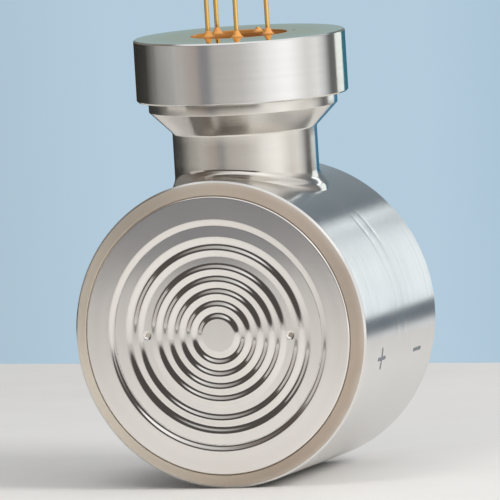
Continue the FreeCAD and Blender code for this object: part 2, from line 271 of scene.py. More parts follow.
def rounded(corners, radii, steps=4):
    """Outline whose corners are rounded by arcs. A radius of 0 keeps a corner as it is."""
    points = []
    for index, (corner, radius) in enumerate(zip(corners, radii)):
        here = Vector(corner)
        if not radius:
            points.append(here)
            continue
        back = Vector(corners[index - 1]) - here
        ahead = Vector(corners[(index + 1) % len(corners)]) - here
        half = back.angle(ahead) / 2
        limit = min(back.length, ahead.length) * ROUNDING_LIMIT
        reach = min(radius / math.tan(half), limit)
        middle = (back.normalized() + ahead.normalized()).normalized()
        centre = here + middle * (reach / math.cos(half))
        start = here + back.normalized() * reach - centre
        sweep = start.angle_signed(here + ahead.normalized() * reach - centre)
        for step in range(steps + 1):
            points.append(centre + Matrix.Rotation(-sweep * step / steps, 2) @ start)
    return points


def new_piece(name, bm):
    """Object in the scene from a finished bmesh, with smooth faces."""
    bmesh.ops.recalc_face_normals(bm, faces=bm.faces)
    mesh = bpy.data.meshes.new(name)
    bm.to_mesh(mesh)
    bm.free()
    mesh.shade_smooth()
    piece = bpy.data.objects.new(name, mesh)
    bpy.context.scene.collection.objects.link(piece)
    return piece


def turned_bmesh(outline, axis, segments):
    """Mesh of an outline of (radius, level) points turned about an axis through the origin."""
    bm = bmesh.new()
    side = axis.cross(ACROSS)
    turns = [FULL_TURN * step / segments for step in range(segments)]
    spokes = [ACROSS * math.cos(turn) + side * math.sin(turn) for turn in turns]
    rings = []
    for radius, level in outline:
        if radius > 0:
            rings.append([bm.verts.new(spoke * radius + axis * level) for spoke in spokes])
        else:
            rings.append([bm.verts.new(axis * level)] * segments)
    pairs = list(zip(rings, rings[1:]))
    if outline[0][0] > 0:
        pairs.append((rings[-1], rings[0]))
    for first, second in pairs:
        for here in range(segments):
            after = (here + 1) % segments
            corners = dict.fromkeys((first[here], first[after], second[after], second[here]))
            bm.faces.new(corners)
    return bm


def turned(name, outline, axis, segments):
    """Piece of an outline turned about an axis through the origin."""
    return new_piece(name, turned_bmesh(outline, axis, segments))


def settle(piece):
    """Applies a piece's modifiers to its mesh."""
    graph = bpy.context.evaluated_depsgraph_get()
    mesh = bpy.data.meshes.new_from_object(piece.evaluated_get(graph))
    old = piece.data
    piece.modifiers.clear()
    piece.data = mesh
    mesh.name = piece.name
    bpy.data.meshes.remove(old)


def combine(piece, tool, operation):
    """Cuts a tool out of a piece or joins it on, and removes the tool."""
    change = piece.modifiers.new(operation.lower(), "BOOLEAN")
    change.object = tool
    change.operation = operation
    change.solver = "EXACT"
    settle(piece)
    bpy.data.objects.remove(tool)


def rod(name, radius, start, end):
    """Round rod between two points, as a tool for cuts."""
    run = end - start
    bm = turned_bmesh([(0, 0), (radius, 0), (radius, run.length), (0, run.length)], UP, ROD_SEGMENTS)
    bm.transform(Matrix.Translation(start) @ UP.rotation_difference(run).to_matrix().to_4x4())
    return new_piece(name, bm)


def even_shading(piece):
    """Keeps flats flat and arcs round in the shading, and the true corners sharp."""
    piece.data.shade_smooth()
    piece.data.set_sharp_from_angle(angle=SHARP_ANGLE)
    weights = piece.modifiers.new("flat_faces", "WEIGHTED_NORMAL")
    weights.keep_sharp = True
    weights.weight = FLAT_FACE_WEIGHT
    settle(piece)


def hand_over(piece, slot, material, *nodes):
    """Gives a piece its material and its body, and hides the solids that it stands for."""
    piece.data.materials.clear()
    piece.data.materials.append(material)
    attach(piece, BODY)
    if nodes:
        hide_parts(*nodes)


# Material tools

NUMBER = "NodeSocketFloat"
VECTOR = "NodeSocketVector"
NOISE = (0.3, 0.7)  # values that a noise texture mostly gives
PATCH_NOISE = (0.35, 0.7)
SPECK_EDGE = (0.012, 0.022)  # where a speck starts to fade and where it ends, as a share of its cell
BROAD_LINES = 0.11  # broad turning lines, as a share of the number of fine ones
TINT_WANDER = 0.2  # how far the edge of a fading tint wanders, over its width
TINT_FADE = (0.4, 1.3)  # where a fading tint starts to fade and ends, over its width
SOIL = (0.30, 0.28, 0.26)  # colour of fine lines and specks, and how much of it they show
SOIL_IN_LINES = 0.05
SOIL_IN_SPECKS = 0.5
LINE_WEAR = (0.93, 1.07)  # how lines and patches change the roughness
PATCH_WEAR = 1.15
LINE_DEPTH = 0.02 * MM
QUARTER_TURN = 0.25
CLOUD_SHARE = 0.2  # how much a cloud changes an even surface

# Finish of the pieces. A pair of values is for the plain surface and for its rim, bead or top.
BARREL_ROUGHNESS = (0.2, 0.45)
NECK_ROUGHNESS = (0.18, 0.14)
HEADER_ROUGHNESS = (0.14, 0.03)
RIM_START = 0.8  # where the rim's finish starts, over the bevel at the cylinder's end
RIM_METALLIC = 0.7
RIM_LEAST_TINT = 0.35
RIM_SHADE_END = 0.3  # where the rim's painted shade is deepest, as a share of the radius to the right
BEAD_TINT = 0.1
BEAD_TINT_WIDTH = 1.6  # width of the tint over the bead's rise
TOP_REFLECTION_WIDTH = 0.8  # width of the painted reflection over the width of the header's top
HEADER_EDGE_TINT = (0.9, 0.85, 0.68, 1)  # what a polished face mirrors at a flat angle
BRIGHT_CLIMB = 0.35  # share of its climb after which the glass is bright
PAINTED_LEFT_LIGHT = 0.5  # painted light: how bright the glass is at its left edge
LEFT_FADE = 0.2  # where that has faded out, as a share of the radius to the right
AMBER_CLOUD = 0.1
AMBER_ROUGHNESS = (0.1, 0.2)  # from one end of the glass's cloud to the other


def add(tree, kind, inputs=None, **options):
    """Node with its options set, and its inputs fed by values or by other nodes."""
    made = tree.nodes.new(kind)
    for key, value in options.items():
        setattr(made, key, value)
    for socket, value in (inputs or {}).items():
        if isinstance(value, bpy.types.NodeSocket):
            tree.links.new(value, made.inputs[socket])
        else:
            made.inputs[socket].default_value = value
    return made


def calc(tree, operation, *values):
    """Output of a math node."""
    return add(tree, "ShaderNodeMath", dict(enumerate(values)), operation=operation).outputs[0]


def spread(tree, value, low, high, to_low=0.0, to_high=1.0, kind="LINEAR"):
    """Output of a map range node."""
    inputs = {"Value": value, "From Min": low, "From Max": high, "To Min": to_low, "To Max": to_high}
    return add(tree, "ShaderNodeMapRange", inputs, interpolation_type=kind).outputs["Result"]


def between(tree, share, low, high):
    """Value between two ends, by a share from 0 to 1."""
    return spread(tree, share, 0.0, 1.0, low, high)


def blend(tree, share, first, second):
    """Output of a colour mix. Plain colours have three values."""
    mixer = add(tree, "ShaderNodeMix", {"Factor": share}, data_type="RGBA")
    for socket, value in ((mixer.inputs[6], first), (mixer.inputs[7], second)):
        if isinstance(value, bpy.types.NodeSocket):
            tree.links.new(value, socket)
        else:
            socket.default_value = (*value, 1)
    return mixer.outputs[2]


def new_group(name, inputs, outputs):
    """Empty shader node group with its inputs, its outputs, which are all numbers, and its end nodes."""
    tree = bpy.data.node_groups.new(name, "ShaderNodeTree")
    for label, kind in inputs.items():
        tree.interface.new_socket(label, in_out="INPUT", socket_type=kind)
    for label in outputs:
        tree.interface.new_socket(label, in_out="OUTPUT", socket_type=NUMBER)
    return tree, tree.nodes.new("NodeGroupInput").outputs, tree.nodes.new("NodeGroupOutput")


def turning_marks(name):
    """Fine lines that a lathe leaves: they change only along one level."""
    tree, given, out = new_group(name, {"Level": NUMBER, "Pitch": NUMBER}, ("Streak", "Height"))
    steps = calc(tree, "DIVIDE", given["Level"], given["Pitch"])
    broad_steps = calc(tree, "MULTIPLY", steps, BROAD_LINES)
    fine_inputs = {"W": steps, "Scale": 1.0, "Detail": 2.0}
    fine = add(tree, "ShaderNodeTexNoise", fine_inputs, noise_dimensions="1D").outputs[0]
    broad_inputs = {"W": broad_steps, "Scale": 1.0, "Detail": 1.0}
    broad = add(tree, "ShaderNodeTexNoise", broad_inputs, noise_dimensions="1D").outputs[0]
    mean = calc(tree, "MULTIPLY", calc(tree, "ADD", fine, broad), 0.5)
    tree.links.new(mean, out.inputs["Streak"])
    tree.links.new(fine, out.inputs["Height"])
    return tree


def handling_marks(name):
    """Soft patches and small specks that handling leaves on bright metal."""
    inputs = {"Position": VECTOR, "Patch Scale": NUMBER, "Speck Scale": NUMBER}
    tree, given, out = new_group(name, inputs, ("Patches", "Specks"))
    patch_inputs = {"Vector": given["Position"], "Scale": given["Patch Scale"]}
    noise = add(tree, "ShaderNodeTexNoise", {**patch_inputs, "Detail": 4.0, "Roughness": 0.6})
    patches = spread(tree, noise.outputs[0], *PATCH_NOISE, kind="SMOOTHSTEP")
    tree.links.new(patches, out.inputs["Patches"])
    cell_inputs = {"Vector": given["Position"], "Scale": given["Speck Scale"]}
    cells = add(tree, "ShaderNodeTexVoronoi", cell_inputs)
    specks = spread(tree, cells.outputs["Distance"], *SPECK_EDGE, 1.0, 0.0)
    tree.links.new(specks, out.inputs["Specks"])
    return tree


def tint_fade_group(name):
    """Tint that fades out away from a weld or an edge: heat tint at the welds, painted reflection round
    the glass on the header's top.
    """
    inputs = {"Distance": NUMBER, "Width": NUMBER, "Position": VECTOR}
    tree, given, out = new_group(name, inputs, ("Tint",))
    cloud = add(tree, "ShaderNodeTexNoise", {"Vector": given["Position"], "Scale": 220.0, "Detail": 2.0})
    share = calc(tree, "DIVIDE", given["Distance"], given["Width"])
    wandering = calc(tree, "ADD", share, between(tree, cloud.outputs[0], -TINT_WANDER, TINT_WANDER))
    tint = spread(tree, wandering, *TINT_FADE, 1.0, 0.0, "SMOOTHSTEP")
    tree.links.new(tint, out.inputs["Tint"])
    return tree


def shared(tree, build, inputs):
    """Outputs of a node group in a material. The group is built when it is first asked for."""
    name = build.__name__
    group = bpy.data.node_groups.get(name) or build(name)
    return add(tree, "ShaderNodeGroup", inputs, node_tree=group).outputs


def new_material(name):
    """Material, its node tree and shader, and the place on the piece as a vector and along each axis."""
    material = bpy.data.materials.new(name)
    material.use_nodes = True
    tree = material.node_tree
    shader = tree.nodes["Principled BSDF"]
    position = add(tree, "ShaderNodeTexCoord").outputs["Object"]
    x, y, z = add(tree, "ShaderNodeSeparateXYZ", {"Vector": position}).outputs
    return material, tree, shader, {"position": position, "x": x, "y": y, "z": z}


def lathe_grain(tree, shader, along, strength):
    """Stretches the gloss across the turning marks, which run round an axis."""
    shader.inputs["Anisotropic"].default_value = strength
    shader.inputs["Anisotropic Rotation"].default_value = QUARTER_TURN
    tangent = add(tree, "ShaderNodeTangent", direction_type="RADIAL", axis=along)
    tree.links.new(tangent.outputs[0], shader.inputs["Tangent"])


def metal_surface(tree, shader, place, base, level, pitch, roughness, relief, marks=(90.0, 60.0)):
    """Metal with fine lines along a level, in metres. Its marks are the scales of patches and specks."""
    lines = shared(tree, turning_marks, {"Level": level, "Pitch": pitch})
    patch_scale, speck_scale = marks
    touch_inputs = {"Position": place["position"], "Patch Scale": patch_scale, "Speck Scale": speck_scale}
    touch = shared(tree, handling_marks, touch_inputs)
    shader.inputs["Metallic"].default_value = 1.0
    shade = spread(tree, lines["Streak"], *NOISE, 0.0, SOIL_IN_LINES)
    dark = calc(tree, "ADD", shade, calc(tree, "MULTIPLY", touch["Specks"], SOIL_IN_SPECKS))
    tree.links.new(blend(tree, dark, base, SOIL), shader.inputs["Base Color"])
    line_wear = spread(tree, lines["Streak"], *NOISE, *LINE_WEAR)
    wear = calc(tree, "MULTIPLY", line_wear, between(tree, touch["Patches"], 1.0, PATCH_WEAR))
    tree.links.new(calc(tree, "MULTIPLY", wear, roughness), shader.inputs["Roughness"])
    bump_inputs = {"Height": lines["Height"], "Strength": relief, "Distance": LINE_DEPTH}
    tree.links.new(add(tree, "ShaderNodeBump", bump_inputs).outputs[0], shader.inputs["Normal"])


def tint_near_edge(tree, place, distance, width):
    """Tint at a distance from a weld or an edge, which ends at about the width."""
    inputs = {"Distance": distance, "Width": width, "Position": place["position"]}
    return shared(tree, tint_fade_group, inputs)["Tint"]


def from_axis(tree, first, second):
    """Distance from an axis, out of the two coordinates across it."""
    squares = [calc(tree, "MULTIPLY", value, value) for value in (first, second)]
    return calc(tree, "SQRT", calc(tree, "ADD", *squares))


def barrel_material(finishes, sizes):
    """Satin turned steel with a straw tint, painted shade towards its right side and a duller surface on
    the conical rim.
    """
    material, tree, shader, place = new_material("turned_barrel_steel")
    level = calc(tree, "ABSOLUTE", place["y"])
    on_rim = calc(tree, "GREATER_THAN", level, sizes.edge_level + sizes.edge_bevel * RIM_START)
    from_seat = calc(tree, "SUBTRACT", sizes.rim_level, level)
    heat = tint_near_edge(tree, place, from_seat, sizes.rim_level - sizes.edge_level)
    tint = calc(tree, "MULTIPLY", on_rim, between(tree, heat, RIM_LEAST_TINT, 1.0))
    # Painted shade: the rim's straw colour darkens towards its right side.
    rim_right_shade = spread(tree, place["x"], -sizes.radius, sizes.radius * RIM_SHADE_END)
    straw = blend(tree, rim_right_shade, finishes.rim_colour, finishes.rim_shade_and_bead_tint_colour)
    steel = blend(tree, tint, finishes.barrel_colour, straw)
    roughness = between(tree, on_rim, *BARREL_ROUGHNESS)
    metal_surface(tree, shader, place, steel, place["y"], 0.09 * MM, roughness, relief=0.05)
    tree.links.new(between(tree, on_rim, 1.0, RIM_METALLIC), shader.inputs["Metallic"])
    lathe_grain(tree, shader, "Y", strength=0.6)
    return material


def neck_material(finishes, sizes, barrel_radius):
    """Turned steel, a little tinted and brighter at its weld bead."""
    material, tree, shader, place = new_material("turned_neck_steel")
    above = calc(tree, "SUBTRACT", place["z"], barrel_radius)
    heat = tint_near_edge(tree, place, above, sizes.bead_rise * BEAD_TINT_WIDTH)
    tint = calc(tree, "MULTIPLY", heat, BEAD_TINT)
    steel = blend(tree, tint, finishes.neck_colour, finishes.rim_shade_and_bead_tint_colour)
    roughness = between(tree, heat, *NECK_ROUGHNESS)
    metal_surface(tree, shader, place, steel, place["z"], 0.11 * MM, roughness, relief=0.06)
    lathe_grain(tree, shader, "Z", strength=0.5)
    return material


def header_material(finishes, sizes):
    """Fine turned side and polished top, with a painted reflection in a straw tone round the glass on the
    top.
    """
    material, tree, shader, place = new_material("polished_header_steel")
    on_top = calc(tree, "GREATER_THAN", place["z"], sizes.top_height - sizes.edge_rounding / 4)
    # Painted reflection: a straw tone round the glass on the polished top, standing in for what the top
    # mirrors.
    from_glass = calc(tree, "SUBTRACT", from_axis(tree, place["x"], place["y"]), sizes.glass_radius)
    heat = tint_near_edge(tree, place, from_glass, (sizes.radius - sizes.glass_radius) * TOP_REFLECTION_WIDTH)
    tint = calc(tree, "MULTIPLY", on_top, heat)
    steel = blend(tree, tint, finishes.header_colour, finishes.top_reflection_colour)
    roughness = between(tree, on_top, *HEADER_ROUGHNESS)
    metal_surface(tree, shader, place, steel, place["z"], 0.1 * MM, roughness, relief=0.05)
    shader.inputs["Specular Tint"].default_value = HEADER_EDGE_TINT
    lathe_grain(tree, shader, "Z", strength=0.6)
    return material


def plain_metal(name, base, axes, pitch, roughness, relief):
    """Metal of one colour. Its lines change along one axis or, for two, outwards from the third."""
    material, tree, shader, place = new_material(name)
    coordinates = [place[axis] for axis in axes]
    level = from_axis(tree, *coordinates) if len(axes) == 2 else coordinates[0]
    metal_surface(tree, shader, place, base, level, pitch, roughness, relief)
    return material


def gold_material(finishes):
    """Satin gold plating with faint drawing lines along the pin."""
    material, tree, shader, place = new_material("gold_plating")
    level = calc(tree, "ADD", place["x"], place["y"])
    finish = {"pitch": 0.08 * MM, "roughness": 0.11, "relief": 0.04, "marks": (300.0, 120.0)}
    metal_surface(tree, shader, place, finishes.gold_colour, level, **finish)
    return material


def amber_material(finishes, sizes):
    """Fused amber glass: deep where it is thick, bright and glossy where it climbs the pins, with painted
    light on its left side.
    """
    material, tree, shader, place = new_material("amber_glass")
    cloud = add(tree, "ShaderNodeTexNoise", {"Vector": place["position"], "Scale": 300.0, "Detail": 2.0})
    surface = sizes.top_height - sizes.glass_sink
    climb = spread(tree, place["z"], surface, surface + sizes.meniscus_height * BRIGHT_CLIMB)
    # Painted light: the glass is painted lighter towards its left edge, as if lit from the left.
    fade_end = sizes.glass_radius * LEFT_FADE
    painted_left_light = spread(tree, place["x"], -sizes.glass_radius, fade_end, PAINTED_LEFT_LIGHT, 0.0)
    clouding = spread(tree, cloud.outputs[0], *NOISE, -AMBER_CLOUD, AMBER_CLOUD)
    share = calc(tree, "ADD", calc(tree, "MAXIMUM", climb, painted_left_light), clouding)
    amber = blend(tree, share, finishes.glass_edge_colour, finishes.glass_colour)
    tree.links.new(amber, shader.inputs["Base Color"])
    tree.links.new(spread(tree, cloud.outputs[0], *NOISE, *AMBER_ROUGHNESS), shader.inputs["Roughness"])
    tree.links.new(climb, shader.inputs["Coat Weight"])
    shader.inputs["Specular IOR Level"].default_value = 0.0
    return material


def smooth_material(name, base, roughness, cloud_scale, metallic=0.0):
    """Even surface with a faint cloud in its colour and gloss."""
    material, tree, shader, place = new_material(name)
    noise_inputs = {"Vector": place["position"], "Scale": cloud_scale, "Detail": 3.0}
    cloud = add(tree, "ShaderNodeTexNoise", noise_inputs).outputs[0]
    shaded = [channel * (1 - CLOUD_SHARE) for channel in base]
    tree.links.new(blend(tree, cloud, base, shaded), shader.inputs["Base Color"])
    ends = (roughness * (1 - CLOUD_SHARE), roughness * (1 + CLOUD_SHARE))
    tree.links.new(spread(tree, cloud, *NOISE, *ends), shader.inputs["Roughness"])
    shader.inputs["Metallic"].default_value = metallic
    return material


# Outlines of the turned pieces

MENISCUS_ROOT = 0.2  # how deep its root lies in the glass, over its height
MENISCUS_OVERLAP = 0.8  # where it starts inside the pin, over the pin's radius
MENISCUS_POWER = 4


def ease(share):
    """Smooth step from 0 to 1."""
    return (1 - math.cos(math.pi * share)) / 2


def steep_ease(share):
    """Step from 0 to 1 with long soft ends and a steep middle."""
    return share**4 * (35 - 84 * share + 70 * share**2 - 20 * share**3)


def seam_outline(sizes, steps=16):
    """Edge of a half at the flush middle weld, with a soft hollow along the weld band's edge."""
    points = [(sizes.seam_root, sizes.seam_level), (sizes.seam_root, 0), (sizes.radius, 0)]
    for step in range(steps + 1):
        across = 2 * step / steps - 1
        hollow = ease(1 - abs(across)) * sizes.seam_depth
        points.append((sizes.radius - hollow, sizes.seam_offset + across * sizes.seam_width))
    return points


def half_outline(sizes):
    """Section of one barrel half, from the middle weld round the rim to the foil's bed."""
    bevel = sizes.edge_bevel
    corners = [
        (sizes.radius, sizes.edge_level),
        (sizes.radius - bevel, sizes.edge_level + bevel),
        (sizes.seat_radius, sizes.rim_level),
        (sizes.seat_radius, sizes.seat_level),
        (sizes.bed_radius, sizes.seat_level),
        (sizes.bed_radius, sizes.bed_level),
        (0, sizes.bed_level),
    ]
    round_edge = sizes.edge_rounding
    start = seam_outline(sizes)
    section = rounded(start[-1:] + corners, [0, round_edge, round_edge, round_edge, 0, 0, 0, 0])
    return [(0, sizes.seam_level)] + start + section[1:]


def half_waves(start, level, widths, sizes, steps):
    """Points of a run of half waves that leaves a level and swings between high and low."""
    low = sizes.foil_level - sizes.wave_depth
    points = []
    for width in widths:
        target = low if level == sizes.foil_level else sizes.foil_level
        for step in range(steps):
            share = step / steps
            points.append((start + share * width, level + (target - level) * ease(share)))
        start += width
        level = target
    points.append((start, level))
    return points


def flat(start, end, level, margin):
    """Points that keep a flat flat right up to its ends."""
    return [(start + margin, level), (end - margin, level)]


def wave_outline(sizes, steps):
    """Upper line of the foil from the centre to the rim."""
    low = sizes.foil_level - sizes.wave_depth
    margin = sizes.foil_thickness / 2
    inner = [sizes.flank_width] * sizes.inner_flanks
    outer = [sizes.flank_width] * sizes.outer_flanks + [sizes.last_flank]
    points = [(0, sizes.foil_level), (sizes.disc_radius - margin, sizes.foil_level)]
    points += half_waves(sizes.disc_radius, sizes.foil_level, inner, sizes, steps)
    land_start = points[-1][0]
    land_end = land_start + sizes.land_width
    points += flat(land_start, land_end, low, margin)
    points += half_waves(land_end, low, outer, sizes, steps)
    points += flat(points[-1][0], sizes.ring_radius, sizes.foil_level, margin)
    points.append((sizes.ring_radius, sizes.foil_level))
    return points


def foil_outline(sizes):
    """Section of the foil: its waves above, and the same line a foil's thickness below."""
    under = wave_outline(sizes, sizes.flank_steps // 2)
    return wave_outline(sizes, sizes.flank_steps) + [
        (radius, level - sizes.foil_thickness) for radius, level in reversed(under)
    ]


def ring_outline(sizes, steps=24):
    """Section of the ring: a slope that leaves the foil and meets the face smoothly, and a bevel."""
    foot = sizes.ring_mouth - sizes.ring_slope
    rise = sizes.face_level - sizes.foil_level
    slope = []
    for step in range(steps):
        share = step / steps
        slope.append((foot + sizes.ring_slope * share, sizes.foil_level + rise * steep_ease(share)))
    corners = [
        (sizes.ring_mouth, sizes.face_level),
        (sizes.ring_radius - sizes.ring_bevel, sizes.face_level),
        (sizes.ring_radius, sizes.face_level - sizes.ring_bevel),
        (sizes.ring_radius, sizes.foil_level),
    ]
    edge = sizes.ring_rounding
    return slope + rounded(corners, [0, edge, edge, 0], steps=6)


def header_outline(sizes):
    """Section of the header with its bevels and its stepped bore."""
    bevel = sizes.bevel
    corners = [
        (sizes.plate_radius, sizes.foot_height),
        (sizes.radius - bevel, sizes.foot_height),
        (sizes.radius, sizes.foot_height + bevel),
        (sizes.radius, sizes.top_height - bevel),
        (sizes.radius - bevel, sizes.top_height),
        (sizes.glass_radius, sizes.top_height),
        (sizes.glass_radius, sizes.plate_height),
        (sizes.plate_radius, sizes.plate_height),
    ]
    edge = sizes.edge_rounding
    return rounded(corners, [0, edge, edge, edge, edge, edge, 0, 0])


def meniscus_outline(sizes, height, steps=14):
    """Section of the glass that climbs a pin, steeper towards the pin."""
    surface = sizes.top_height - sizes.glass_sink
    sunk = surface - height * MENISCUS_ROOT
    inside = sizes.pin_radius * MENISCUS_OVERLAP
    points = [(inside, sunk)]
    width = sizes.meniscus_radius - inside
    for step in range(steps + 1):
        share = step / steps
        rise = (height + sizes.glass_sink) * (1 - share) ** MENISCUS_POWER
        points.append((inside + width * share, surface + rise))
    points.append((sizes.meniscus_radius, sunk))
    return points


# Stage

# Room tones: each stop is a bearing from the front, in degrees to the right, and a colour or a grey
LOW_ROOM = [
    (-163, 0.04, 0.18, 0.30),
    (-161, 0.455, 0.60, 0.715),
    (-158, 0.455, 0.60, 0.715),
    (-156, 0.03),
    (-106, 0.04),
    (-90, 0.20, 0.20, 0.19),
    (-60, 0.33, 0.33, 0.31),
    (-50, 0.50, 0.48, 0.45),
    (-30, 0.42, 0.36, 0.33),
    (-23, 0.24, 0.24, 0.255),
    (-17, 0.25, 0.25, 0.26),
    (-8, 0.50, 0.48, 0.46),
    (20, 0.60, 0.58, 0.56),
    (40, 0.84, 0.83, 0.82),
    (65, 1.12),
    (75, 1.12),
    (97, 0.76, 0.75, 0.73),
    (112, 0.88, 0.88, 0.86),
    (123, 0.64, 0.65, 0.66),
    (135, 0.14),
    (160, 0.145),
    (167, 0.04, 0.18, 0.30),
]
HIGH_ROOM = [
    (-172, 0.20, 0.25, 0.28),
    (-161, 0.36, 0.48, 0.56),
    (-158, 0.36, 0.48, 0.56),
    (-150, 0.18),
    (-110, 0.25, 0.24, 0.23),
    (-83, 0.16, 0.14, 0.13),
    (-70, 0.13, 0.10, 0.085),
    (-48, 0.085, 0.078, 0.072),
    (36, 0.08, 0.073, 0.07),
    (46, 0.95),
    (95, 0.95),
    (125, 0.30),
    (150, 0.16, 0.18, 0.20),
    (176, 0.16, 0.20, 0.23),
]
UPPER_ROOM = [
    (-180, 0.45, 0.47, 0.48),
    (-110, 0.22, 0.19, 0.17),
    (-80, 0.16, 0.13, 0.11),
    (-56, 0.20, 0.17, 0.15),
    (-30, 0.50, 0.48, 0.46),
    (-16, 0.60, 0.59, 0.58),
    (12, 1.1),
    (60, 1.3),
    (95, 1.0),
    (180, 0.45, 0.47, 0.48),
]
CEILING = (0.95, 0.95, 0.95)
# Where one band of the room gives way to the next, as the sine of the height angle
HIGH_START = (-0.03, 0.05)
UPPER_START = (0.49, 0.58)
CEILING_START = (0.74, 0.86)
CAMERA_PLACE = (0.59189, -1.58297, 0.17374)
PICTURE_WIDTH_PX = 500
FILM_WIDTH_MM = 36
VIEW_END = 20  # metres
WARM_WHITE = (1.0, 0.98, 0.96)
COOL_WHITE = (0.92, 0.98, 1.0)
# Lights: name, place, target, width and height, power, tint, and whether bright surfaces mirror it
LIGHTS = [
    ("key_softbox", (0.66, -0.22, 0.44), (0, 0, 0), (0.25, 0.25), 4.0, WARM_WHITE, False),
    ("front_fill", (-0.02, -0.09, 0.12), (-0.02, -0.09, 0), (0.06, 0.06), 0.05, WARM_WHITE, False),
    ("left_card", (-0.92, -0.35, 0.156), (0, 0, 0), (0.57, 0.35), 0.3, WARM_WHITE, True),
    ("rear_window", (0.208, 0.46, 0.068), (0.208, 0, 0.068), (0.194, 0.184), 0.115, COOL_WHITE, True),
    ("rear_window_top", (0.181, 0.46, 0.193), (0.181, 0, 0.193), (0.198, 0.042), 0.05, COOL_WHITE, True),
    ("rear_strip", (0.19, 0.46, -0.08), (0.19, 0, -0.08), (0.3, 0.028), 0.018, WARM_WHITE, True),
]


# Operators


class SENSOR_OT_barrel_halves(bpy.types.Operator):
    """Build both halves of the barrel with their rims, middle weld and filling holes"""

    bl_idname = "sensor.barrel_halves"
    bl_label = "Barrel halves"

    def execute(self, context):
        sizes = context.scene.sensor_barrel
        material = barrel_material(context.scene.sensor_finishes, sizes)
        for side, axis in SIDES.items():
            half = turned(f"{side}_half", half_outline(sizes), axis, sizes.segments)
            floor = axis * sizes.screw_offset - ACROSS * sizes.screw_hole_floor
            hole = rod("filling_hole", sizes.screw_hole_radius, floor, floor - ACROSS * sizes.radius)
            combine(half, hole, "DIFFERENCE")
            even_shading(half)
            hand_over(half, "barrel_steel", material, f"{side}_half_body")
        return {"FINISHED"}


class SENSOR_OT_foils(bpy.types.Operator):
    """Build both corrugated foils with the pressed dimples on their flat land"""

    bl_idname = "sensor.foils"
    bl_label = "Isolating diaphragms"

    def press_dimples(self, bm, axis, sizes):
        """Refines the land around each dimple and presses both sides of the foil in."""
        land = sizes.disc_radius + sizes.inner_flanks * sizes.flank_width + sizes.land_width / 2
        line = Matrix.Rotation(sizes.dimple_turn, 3, "Y") @ ACROSS
        radius, depth = sizes.dimple_radius, sizes.dimple_depth
        zone = radius * DIMPLE_MARGIN
        ball = (radius**2 + depth**2) / (2 * depth)
        for middle in (line * land, -line * land):

            def distance(point):
                return (point - axis * point.dot(axis) - middle).length

            near = [face for face in bm.faces if distance(face.calc_center_median()) < zone]
            edges = list({edge for face in near for edge in face.edges})
            bmesh.ops.subdivide_edges(bm, edges=edges, cuts=DIMPLE_CUTS, use_grid_fill=True)
            for vert in bm.verts:
                if distance(vert.co) < radius:
                    vert.co -= axis * (math.sqrt(ball**2 - distance(vert.co) ** 2) - ball + depth)

    def execute(self, context):
        sizes = context.scene.sensor_face
        base = context.scene.sensor_finishes.foil_colour
        material = plain_metal("bright_foil_steel", base, "x", 0.15 * MM, roughness=0.075, relief=0.01)
        for side, axis in SIDES.items():
            bm = turned_bmesh(foil_outline(sizes), axis, sizes.segments)
            self.press_dimples(bm, axis, sizes)
            foil = new_piece(f"{side}_foil", bm)
            even_shading(foil)
            hand_over(foil, "foil_steel", material, f"{side}_isolating_diaphragm")
        return {"FINISHED"}


class SENSOR_OT_weld_rings(bpy.types.Operator):
    """Build the flat rings that hold the foils' rims"""

    bl_idname = "sensor.weld_rings"
    bl_label = "Weld rings"

    def execute(self, context):
        sizes = context.scene.sensor_face
        base = context.scene.sensor_finishes.ring_colour
        material = plain_metal("lapped_ring_steel", base, "xz", 0.12 * MM, roughness=0.1, relief=0.03)
        for side, axis in SIDES.items():
            ring = turned(f"{side}_ring", ring_outline(sizes), axis, sizes.segments)
            even_shading(ring)
            hand_over(ring, "ring_steel", material, f"{side}_weld_ring")
        return {"FINISHED"}


